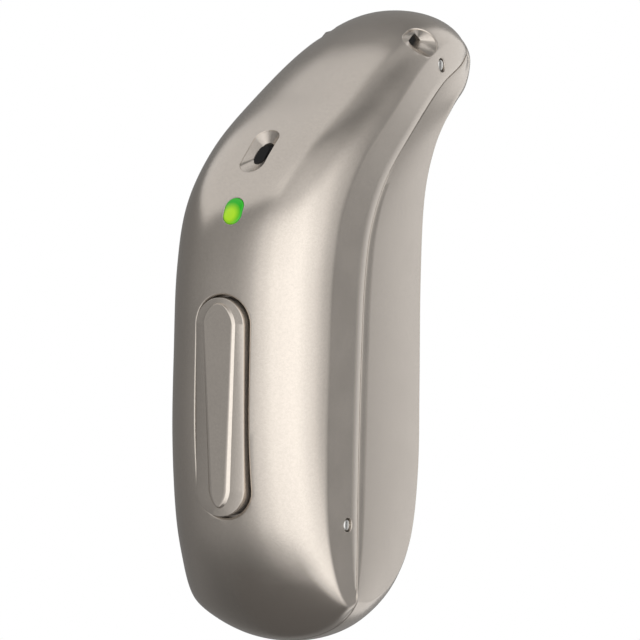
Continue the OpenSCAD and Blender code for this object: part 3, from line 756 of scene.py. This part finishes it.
def turned_steel():
    """Stainless steel pin ends, turned and tumbled: bright, with marks 0.06 mm apart."""
    return grained("turned_stainless_steel", sizes("finishes").steel, 18, 0.002, light=1.05,
                   strength=0.4, metallic=1.0, roughness=0.24)


# Pieces

def keep(bm, name, body, materials, nodes, smooth=30):
    """Turns a drawing into a piece of the object that stands for CAD nodes. Edges are
    smooth up to an angle in degrees."""
    bmesh.ops.recalc_face_normals(bm, faces=bm.faces)
    bm.transform(seat())
    for f in bm.faces:
        f.smooth = True
    mesh = bpy.data.meshes.new(name)
    bm.to_mesh(mesh)
    bm.free()
    mesh.set_sharp_from_angle(angle=math.radians(smooth))
    for m in materials:
        mesh.materials.append(m)
    piece = bpy.data.objects.new(name, mesh)
    bpy.context.scene.collection.objects.link(piece)
    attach(piece, body)
    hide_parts(*nodes)


def shared(name, build):
    """The material of that name, made on first use."""
    return bpy.data.materials.get(name) or build()


def shell_materials():
    """Materials of a shell by slot: outside, cut walls and dust screens."""
    lacquered = shared("champagne_metallic_lacquer", lacquer)
    screen = shared("black_acoustic_mesh", mesh_screen)
    return [lacquered, lacquered, screen]


def button_opening():
    """The rocker button's long opening, upright on the spine."""
    b = sizes("button")
    row = spine(BUTTON)
    place = Matrix.Translation((0, row[0], row[1]))
    return Opening(place, (b.length - b.width) / 2, b.width / 2 + b.gap, b.lip)


def window_opening():
    """The light window's oval hole."""
    o = sizes("openings")
    return Opening(on_spine(WINDOW), (o.window_l - o.window_w) / 2, o.window_w / 2,
                   HOLE_LIP)


def slot_opening():
    """The scoop round the rear microphone's slot."""
    o = sizes("openings")
    radius = o.slot_w / 2 + o.slot_rim
    return Opening(on_spine(SLOT), o.slot_scoop / 2 - radius - SCOOP_LIP, radius, SCOOP_LIP,
                   through=False)


def pin_openings():
    """Holes of the pins on both sides, each with its depth axis pointing into the body."""
    p = sizes("pins")
    found = []
    for s in (BASE_PIN, LOCK_PIN):
        for side in (1, -1):
            end = facet_place(s)
            end.x *= side
            place = Matrix.Translation(end) @ Matrix.Rotation(side * math.pi / 2, 4, "Z")
            found.append(Opening(place, 0, p.hole / 2, HOLE_LIP))
    return found


def on_shoulder(s, x, side):
    """Frame on the shoulder where it is x away from the middle: Y into the body."""
    rows = [quarter(spine(s + d)) for d in (-SLOPE_STEP, 0, SLOPE_STEP)]
    k = min(range(1, sizes("housing").points - 1), key=lambda i: abs(rows[1][i].x - x))
    p, along = rows[1][k], (rows[2][k] - rows[0][k]).normalized()
    inwards = along.cross(rows[1][k + 1] - rows[1][k - 1]).normalized()
    p, along, inwards = [Vector((side * v.x, v.y, v.z)) for v in (p, along, inwards)]
    frame_of = Matrix((inwards.cross(along), inwards, along)).transposed().to_4x4()
    return Matrix.Translation(p) @ frame_of


def channel_openings():
    """Scoops of the front microphone on both shoulders of the nose."""
    o = sizes("openings")
    return [Opening(on_shoulder(CHANNEL, o.channel_x, side), o.channel_run, o.channel_scoop,
                    SCOOP_LIP, through=False) for side in (1, -1)]


class HEARING_AID_OT_cover(bpy.types.Operator):
    """Adds the spine cover with its facets and openings"""
    bl_idname = "hearing_aid.cover"
    bl_label = "Spine cover"

    def execute(self, context):
        h, o, b = sizes("housing"), sizes("openings"), sizes("button")
        bm = shell(cover_rows(False), cover_rows(True), h.edge)
        button, window, slot = button_opening(), window_opening(), slot_opening()
        pins, channels = pin_openings(), channel_openings()
        pocket = bmesh.new()
        reach = b.width / 2 + 2 * b.gap + b.flange_lip
        stack(pocket, [button.ring(reach, h.wall), button.ring(reach, POCKET * h.wall)])
        bmesh.ops.recalc_face_normals(pocket, faces=pocket.faces)
        cut(bm, pocket)
        carve(bm, [button, window, slot, *pins, *channels], COVER_CUT * h.wall, OUTWARD)
        lip(bm, button, [straight(button, BUTTON_WALL * h.wall)])
        lip(bm, window, [straight(window, HOLE_WALL * h.wall)])
        for pin in pins:
            lip(bm, pin, [straight(pin, HOLE_WALL * h.wall)])

        half, run = o.slot_w / 2, (o.slot_l - o.slot_w) / 2

        def slot_mouth(depth):
            """The slot's outline, moved up the slope from the middle of its scoop."""
            def place_of(centre, way, _):
                z = centre / slot.run * run + way.z * half + o.slot_lean
                return Vector((way.x * half, depth, z))
            return place_of
        lip(bm, slot, [slot_mouth(o.slot_deep), slot_mouth(SLOT_FLOOR * h.wall)])

        sharp = 0.8  # 0 leaves the mouth round and 1 makes it a diamond with straight sides
        channel_floor = 0.65  # mm across from the scoop
        half_deep, half_tall = o.channel / 1.25, o.channel / 1.9
        for channel, side in zip(channels, (1, -1)):
            def channel_mouth(inwards):
                """A soft diamond seen from the side, straight across from the scoop."""
                def place_of(centre, way, _):
                    out = way * channel.radius + Vector((0, 0, centre))
                    p = channel.place.to_3x3() @ out.normalized()
                    flat = (abs(p.y) + abs(p.z)) ** sharp
                    middle = channel.place.translation - Vector((side * inwards, 0, 0))
                    at = Vector((0, p.y * half_deep, p.z * half_tall)) / flat
                    return channel.back @ (middle + at)
                return place_of
            lip(bm, channel, [channel_mouth(o.channel_deep), channel_mouth(channel_floor)])
        keep(bm, "housing_spine_cover", "housing", shell_materials(),
             ["spine_cover"])
        return {"FINISHED"}


class HEARING_AID_OT_base(bpy.types.Operator):
    """Adds the base shell with both cheeks and the ear side"""
    bl_idname = "hearing_aid.base"
    bl_label = "Base shell"

    def execute(self, context):
        h = sizes("housing")
        bm = shell(base_rows(False), base_rows(True), h.seam_catch)
        pin = facet_place(LOCK_PIN)
        row = ear(SOCKET)
        place = Matrix.Translation((0, row[0], pin.z)) @ Matrix.Rotation(math.pi, 4, "Z")
        clearance = 0.03
        radius = sizes("openings").socket / 2 + clearance
        socket = Opening(place, 0, radius, SOCKET_LIP)
        carve(bm, [socket], NOSE_CUT * h.wall, NOSE_OUTWARD * h.wall)
        lip(bm, socket, [straight(socket, SOCKET_WALL * h.wall)])
        keep(bm, "housing_base_shell", "housing", shell_materials(),
             ["base_shell"])
        return {"FINISHED"}


class HEARING_AID_OT_button(bpy.types.Operator):
    """Adds the rocker button with its bevelled crown"""
    bl_idname = "hearing_aid.button"
    bl_label = "Rocker button"

    def execute(self, context):
        b, h = sizes("button"), sizes("housing")
        outline = button_opening()
        half, run = b.width / 2, (b.length - b.width) / 2
        crown_y, edge_y, top_y = b.rise / 3, -b.rise / 3, -b.rise
        opening_half = half + b.gap + b.flange_lip
        long = run + opening_half
        flange_y = h.wall + long * math.sin(b.throw) + b.gap / 3
        under_y = flange_y + b.flange
        count, end_share = 96, 0.45  # the bevel is narrower by end_share at both ends

        def crown(share, depth):
            """Ring of the crown between its outline, at 0, and its flat top, at 1."""
            points = []
            for p in outline.ring(half, 0, run, count):
                q = outline.back @ p
                centre = math.copysign(run, q.z) if abs(q.z) > run else q.z
                up = (q.z + run) / (2 * run)
                bevel = b.lower_bevel + (b.upper_bevel - b.lower_bevel) * min(max(up, 0), 1)
                way = Vector((q.x, 0, q.z - centre)).normalized()
                end = 1 - end_share * abs(way.z)
                x, z = way.x * (half - bevel * share), way.z * (half - end * bevel * share)
                points.append(outline.place @ Vector((x, depth, centre + z)))
            return points

        # the crown rises from a low wall over the bevel to a small step round its flat top,
        # by share of the bevel's width and depth
        bend = [(0, crown_y), (0, edge_y + b.round), (0.015, edge_y + b.round / 3),
                (0.06, edge_y), (0.80, top_y + 1.05 * b.ridge), (0.83, top_y + 0.9 * b.ridge),
                (0.90, top_y + 0.35 * b.ridge), (0.94, top_y + 0.1 * b.ridge), (1.0, top_y),
                (1.1, top_y)]
        bm = bmesh.new()
        rings = [outline.ring(opening_half, under_y, run, count),
                 outline.ring(opening_half, flange_y, run, count),
                 outline.ring(half, flange_y, run, count)]
        rings += [crown(share, depth) for share, depth in bend]
        stack(bm, rings)

        # a bar with a round edge takes the axle, and a peg stands over each switch
        eye_wall, rock_gap, overlap = 0.22, b.gap / 3, 0.05
        lug_share, lug_gap = 0.4, 0.04
        eye = b.axle / 2 + eye_wall
        axle_y = under_y + 2 * rock_gap + eye
        lug_half = lug_share * b.width - lug_gap
        round_edge = [math.radians(k) for k in range(-75, 90, 15)]
        side_view = [(under_y - overlap, -eye), (axle_y, -eye),
                     *((axle_y + eye * math.cos(a), eye * math.sin(a)) for a in round_edge),
                     (axle_y, eye), (under_y - overlap, eye)]
        stack(bm, [[outline.place @ Vector((x, y, z)) for y, z in side_view]
                   for x in (-lug_half, lug_half)])
        peg_radius, peg_height, peg_share = 0.4, 0.28, 0.32
        for side in (-1, 1):
            foot = outline.place @ Matrix.Translation((0, 0, side * peg_share * b.length))
            peg = Opening(foot, 0, peg_radius, 0)
            stack(bm, [peg.ring(peg_radius, under_y - overlap, 0, 32),
                       peg.ring(peg_radius, under_y + peg_height, 0, 32)])
        keep(bm, "rocker_button_cap", "button", shell_materials(),
             ["rocker_button"], smooth=24)
        return {"FINISHED"}


class HEARING_AID_OT_window(bpy.types.Operator):
    """Adds the light window with its gently domed face"""
    bl_idname = "hearing_aid.window"
    bl_label = "Light window"

    def execute(self, context):
        h = sizes("housing")
        hole = window_opening()
        # in mm: the gap round the window, how far its guide reaches in past the wall, and
        # the collar behind the wall: its gap to it, its thickness and its reach
        gap, guide, collar_gap, collar, collar_reach = 0.02, 0.8, 0.09, 0.15, 0.17
        half = hole.radius - gap
        collar_y, reach = h.wall + collar_gap, half + collar_reach
        bm = bmesh.new()
        rings = [hole.ring(half, h.wall + guide - gap), hole.ring(half, collar_y + collar),
                 hole.ring(reach, collar_y + collar), hole.ring(reach, collar_y),
                 hole.ring(half, collar_y)]
        # its face, by share of the half width and depth
        dome = ((1, 0.03), (0.985, 0.005), (0.94, -0.012), (0.8, -0.022), (0.5, -0.03),
                (0.2, -0.033))
        rings += [hole.ring(half * w, d, hole.run * min(1, w + 0.1)) for w, d in dome]
        stack(bm, rings)
        keep(bm, "green_light_window", "housing",
             [shared("lit_green_polycarbonate", green_lens)], ["light_guide"], smooth=50)
        return {"FINISHED"}


class HEARING_AID_OT_pins(bpy.types.Operator):
    """Adds the cross pins with their rounded, turned ends"""
    bl_idname = "hearing_aid.pins"
    bl_label = "Cross pins"

    def pin(self, bm, place, inner, outer, round_inner):
        """A pin along X with its outer end, and perhaps its inner end, rounded over."""
        r, count = sizes("pins").diameter / 2, 40
        # a rounded end, by share of the radius and distance from the tip
        ends = [(0.72, 0), (0.86, 0.02), (0.95, 0.055), (1, 0.11)]
        near = ends if round_inner else [(1, 0)]
        steps = [(k, inner + d) for k, d in near] + [(k, outer - d) for k, d in ends[::-1]]
        around = [2 * math.pi * k / count for k in range(count)]
        stack(bm, [[Vector((x, place.y + r * k * math.cos(a), place.z + r * k * math.sin(a)))
                    for a in around] for k, x in steps])

    def execute(self, context):
        p = sizes("pins")
        steel = [shared("turned_stainless_steel", turned_steel)]
        lock, base = facet_place(LOCK_PIN), facet_place(BASE_PIN)
        bm = bmesh.new()
        self.pin(bm, lock, p.recess - lock.x, lock.x - p.recess, True)
        keep(bm, "speaker_lock_pin_turned", "lock_pin", steel,
             ["speaker_lock_pin"])
        bm = bmesh.new()
        self.pin(bm, base, p.inner, base.x - p.recess, False)
        made = bmesh.ops.duplicate(bm, geom=bm.verts[:] + bm.edges[:] + bm.faces[:])["geom"]
        bmesh.ops.scale(bm, vec=(-1, 1, 1),
                        verts=[g for g in made if isinstance(g, bmesh.types.BMVert)])
        keep(bm, "base_pins_turned", "housing", steel, ["base_pins"])
        return {"FINISHED"}


class HEARING_AID_OT_insides(bpy.types.Operator):
    """Gives the pieces inside, which keep their own meshes, their finishes"""
    bl_idname = "hearing_aid.insides"
    bl_label = "Insides"

    def execute(self, context):
        steel = shared("turned_stainless_steel", turned_steel)
        screen = shared("black_acoustic_mesh", mesh_screen)
        wears = {
            # black ABS from a spark-eroded mould, with a soft sheen
            grained("black_moulded_abs", hexed("#1b1b1d"), 12, 0.004, roughness=0.55):
                ("upper_switch", "lower_switch", "speaker_socket"),
            # grey nylon whose glass fibres leave a dull, slightly rough skin
            grained("glass_filled_nylon", hexed("#3b3d41"), 9, 0.006, roughness=0.62):
                ("inner_frame",),
            # near black rubber that hardly shines
            grained("silicone_rubber", hexed("#232326"), 8, 0.004, roughness=0.8):
                ("microphone_gaskets", "socket_seal"),
            # amber film over copper tracks
            banded("polyimide_flex_circuit", hexed("#8a6a2c"), 0.3, "Z", roughness=0.4):
                ("switch_board",),
            # green varnish that rises over the tracks under it
            banded("green_solder_mask", hexed("#1f5a3c"), 0.25, "Y", roughness=0.45):
                ("main_board",),
            # black epoxy of the chips, evenly matt
            grained("chip_moulding_resin", hexed("#19191b"), 15, 0.003, roughness=0.5):
                ("signal_processor", "radio_chip", "charge_controller"),
            # warm bright gold
            grained("gold_plated_brass", hexed("#c9a64a"), 10, 0.002, metallic=1.0,
                    roughness=0.28):
                ("rear_microphone", "front_microphone", "socket_contacts"),
            # copper red wire under clear enamel, drawn several turns to a line
            banded("enamelled_copper_winding", hexed("#b5652f"), 0.09, "Z", metallic=0.8,
                   roughness=0.35):
                ("antenna", "telecoil", "charging_coil"),
            # pale grey metal with a light sheen
            grained("nickel_plated_steel", hexed("#b9b9b6"), 8, 0.002, metallic=1.0,
                    roughness=0.3):
                ("battery_cell", "battery_tabs", "snap_domes"),
            # dull brown-grey ceramic
            grained("sintered_ferrite", hexed("#4a4643"), 10, 0.006, roughness=0.7):
                ("ferrite_sheet",),
            # white resin round the lamp
            grained("white_led_package", hexed("#e8e6de"), 12, 0.002, roughness=0.4):
                ("indicator_led",),
            # tan ceramic blocks
            grained("ceramic_components", hexed("#b08d57"), 9, 0.003, roughness=0.45):
                ("board_components",),
            steel: ("rocker_axle",),
            screen: ("inlet_screens",),
        }
        for finish, nodes in wears.items():
            for node in nodes:
                mesh = frame["nodes"][node].data
                mesh.materials.clear()
                mesh.materials.append(finish)
        return {"FINISHED"}


# The studio's brightness by angle, in degrees: round the object from the spine towards
# the right cheek, and from straight below to straight above
AROUND = ((-180, 0.10), (-110, 0.06), (-80, 0.06), (-43, 0.085), (-30, 0.11), (-18, 0.18),
          (6, 0.38), (35, 0.52), (80, 0.56), (106, 0.42), (124, 0.20), (138, 0.05),
          (147, 0.10), (158, 0.30), (180, 0.36))
UPRIGHT = ((-90, 0.1), (-74, 0.13), (-55, 0.42), (-28, 0.92), (5, 1.0), (30, 0.9),
           (55, 0.45), (90, 0.34))

# The strength of a card whose brightness is 1 both ways
ROOM_LEVEL = 3.0

# The floor's colour to rays other than the camera's, and its glow to the camera
FLOOR_FROM_OBJECT = "#615e5c"
FLOOR_GLOW = 0.8

# In mm: half the floor's side, its distance below the object, and the camera's sensor
FLOOR_HALF, FLOOR_BELOW, SENSOR_MM = 40, 55, 36


class HEARING_AID_OT_stage(bpy.types.Operator):
    """Adds the pale floor, the soft box, the world and the camera"""
    bl_idname = "hearing_aid.stage"
    bl_label = "Stage"

    def lamp(self, name, azimuth, elevation, distance_mm, side_mm, watts):
        """A soft box aimed at the middle of the object."""
        a, e = math.radians(azimuth), math.radians(elevation)
        way = Vector((math.sin(a) * math.cos(e), -math.cos(a) * math.cos(e), math.sin(e)))
        light = bpy.data.lights.new(name, "AREA")
        light.shape = "SQUARE"
        light.size = side_mm * MM
        light.energy = watts
        lamp = bpy.data.objects.new(name, light)
        lamp.location = self.aim + way * distance_mm * MM
        lamp.rotation_euler = way.to_track_quat("Z", "Y").to_euler()
        bpy.context.scene.collection.objects.link(lamp)

    def floor(self, tint):
        """A pale floor that is plain white to the camera, apart from a soft shadow."""
        bm = bmesh.new()
        bmesh.ops.create_grid(bm, x_segments=1, y_segments=1, size=FLOOR_HALF * MM)
        mesh = bpy.data.meshes.new("studio_floor")
        bm.to_mesh(mesh)
        bm.free()
        made = bpy.data.materials.new("pale_studio_card")
        made.use_nodes = True
        tree = made.node_tree
        tree.nodes.clear()
        seen = add(tree, "LightPath").outputs["Is Camera Ray"]
        card = add(tree, "BsdfDiffuse", sockets={"Color": tint})
        cloth = add(tree, "BsdfDiffuse", sockets={"Color": hexed(FLOOR_FROM_OBJECT)})
        glow = add(tree, "Emission", sockets={"Color": (1, 1, 1, 1), "Strength": FLOOR_GLOW})
        white = add(tree, "AddShader", sockets={0: card.outputs[0], 1: glow.outputs[0]})
        both = add(tree, "MixShader", sockets={0: seen, 1: cloth.outputs[0],
                                               2: white.outputs[0]})
        add(tree, "OutputMaterial", sockets={"Surface": both.outputs[0]})
        mesh.materials.append(made)
        floor = bpy.data.objects.new("studio_floor", mesh)
        floor.location = (0, 0, CAD_BOX[0].z - FLOOR_BELOW * MM)
        bpy.context.scene.collection.objects.link(floor)

    def world(self):
        """White to the camera and through clear pieces. The object sees a studio: a tall
        bright card round to its right, grey cards elsewhere and a dark floor side."""
        world = bpy.data.worlds.new("studio")
        bpy.context.scene.world = world
        world.use_nodes = True
        tree = world.node_tree
        tree.nodes.clear()
        way = add(tree, "TexCoord").outputs["Generated"]
        x, y, z = add(tree, "SeparateXYZ", sockets={0: way}).outputs
        minus_y = add(tree, "Math", {"operation": "MULTIPLY"}, {0: y, 1: -1.0}).outputs[0]
        flat = add(tree, "VectorMath", {"operation": "MULTIPLY"}, {0: way, 1: (1, 1, 0)})
        level = add(tree, "VectorMath", {"operation": "LENGTH"}, {0: flat.outputs[0]})
        shares = []
        for opposite, adjacent, stops in ((x, minus_y, AROUND),
                                          (z, level.outputs["Value"], UPRIGHT)):
            # the angle as 0 to 1 for minus to plus half a turn, then its brightness
            turn = add(tree, "Math", {"operation": "ARCTAN2"}, {0: opposite, 1: adjacent})
            part = add(tree, "Math", {"operation": "MULTIPLY_ADD"},
                       {0: turn.outputs[0], 1: 0.5 / math.pi, 2: 0.5})
            scale = add(tree, "ValToRGB", sockets={"Fac": part.outputs[0]})
            scale.color_ramp.interpolation = "EASE"
            points = scale.color_ramp.elements
            while len(points) < len(stops):
                points.new(0.5)
            for point, (degrees, grey) in zip(points, stops):
                point.position = degrees / 360 + 0.5
                point.color = (grey, grey, grey, 1)
            shares.append(scale.outputs["Color"])
        both = add(tree, "VectorMath", {"operation": "MULTIPLY"}, {0: shares[0], 1: shares[1]})
        room = add(tree, "Background", sockets={"Color": both.outputs[0],
                                                "Strength": ROOM_LEVEL})
        sky = add(tree, "Background", sockets={"Color": (1, 1, 1, 1), "Strength": 1.0})
        path = add(tree, "LightPath")
        seen = add(tree, "Math", {"operation": "MAXIMUM"},
                   {0: path.outputs["Is Camera Ray"], 1: path.outputs["Is Transmission Ray"]})
        mixed = add(tree, "MixShader", sockets={0: seen.outputs[0], 1: room.outputs[0],
                                                2: sky.outputs[0]})
        add(tree, "OutputWorld", sockets={"Surface": mixed.outputs[0]})

    def camera(self, s):
        """The photograph's view."""
        a, e = s.azimuth, s.elevation
        back = Vector((math.sin(a) * math.cos(e), -math.cos(a) * math.cos(e), math.sin(e)))
        right = Vector((math.cos(a), math.sin(a), 0))
        up = back.cross(right)
        data = bpy.data.cameras.new("camera")
        data.lens, data.sensor_width = s.lens, SENSOR_MM
        camera = bpy.data.objects.new("camera", data)
        centre = (right * s.centre_right + up * s.centre_up) * MM
        away = s.frame * s.lens / data.sensor_width * MM
        camera.location = centre + back * away
        camera.rotation_mode = "QUATERNION"
        camera.rotation_quaternion = back.to_track_quat("Z", "Y")
        data.clip_start, data.clip_end = 0.01, 10
        bpy.context.scene.collection.objects.link(camera)
        bpy.context.scene.camera = camera

    def execute(self, context):
        s = sizes("stage")
        self.aim = (CAD_BOX[0] + CAD_BOX[1]) / 2
        self.camera(s)
        self.floor(s.floor)
        self.world()
        self.lamp("top_box", azimuth=-85, elevation=62, distance_mm=170, side_mm=200, watts=0.085)
        bpy.context.scene.view_settings.view_transform = "Standard"
        return {"FINISHED"}


class HEARING_AID_PT_panel(bpy.types.Panel):
    """Sizes, finishes and pieces of the hearing aid"""
    bl_label = "Hearing aid"
    bl_idname = "HEARING_AID_PT_panel"
    bl_space_type = "VIEW_3D"
    bl_region_type = "UI"
    bl_category = "Hearing aid"

    def draw(self, context):
        for operator in OPERATORS:
            self.layout.operator(operator.bl_idname)
        for group, kind in GROUPS.items():
            box = self.layout.box()
            held = getattr(context.scene.hearing_aid, group)
            for name in kind.__annotations__:
                box.prop(held, name)


class HearingAid(bpy.types.PropertyGroup):
    """All the settings, kept on the scene"""
    housing: PointerProperty(type=HousingSizes)
    button: PointerProperty(type=ButtonSizes)
    openings: PointerProperty(type=OpeningSizes)
    pins: PointerProperty(type=PinSizes)
    finishes: PointerProperty(type=Finishes)
    stage: PointerProperty(type=StageSettings)


GROUPS = {"housing": HousingSizes, "button": ButtonSizes, "openings": OpeningSizes,
          "pins": PinSizes, "finishes": Finishes, "stage": StageSettings}
OPERATORS = (HEARING_AID_OT_stage, HEARING_AID_OT_cover, HEARING_AID_OT_base,
             HEARING_AID_OT_button, HEARING_AID_OT_window, HEARING_AID_OT_pins,
             HEARING_AID_OT_insides)
CLASSES = (*GROUPS.values(), HearingAid, *OPERATORS, HEARING_AID_PT_panel)


def register():
    for made in CLASSES:
        bpy.utils.register_class(made)
    bpy.types.Scene.hearing_aid = PointerProperty(type=HearingAid)


def unregister():
    del bpy.types.Scene.hearing_aid
    for made in reversed(CLASSES):
        bpy.utils.unregister_class(made)


def main():
    register()
    for operator in OPERATORS:
        group, name = operator.bl_idname.split(".")
        getattr(getattr(bpy.ops, group), name)()


if __name__ == "__main__":
    main()
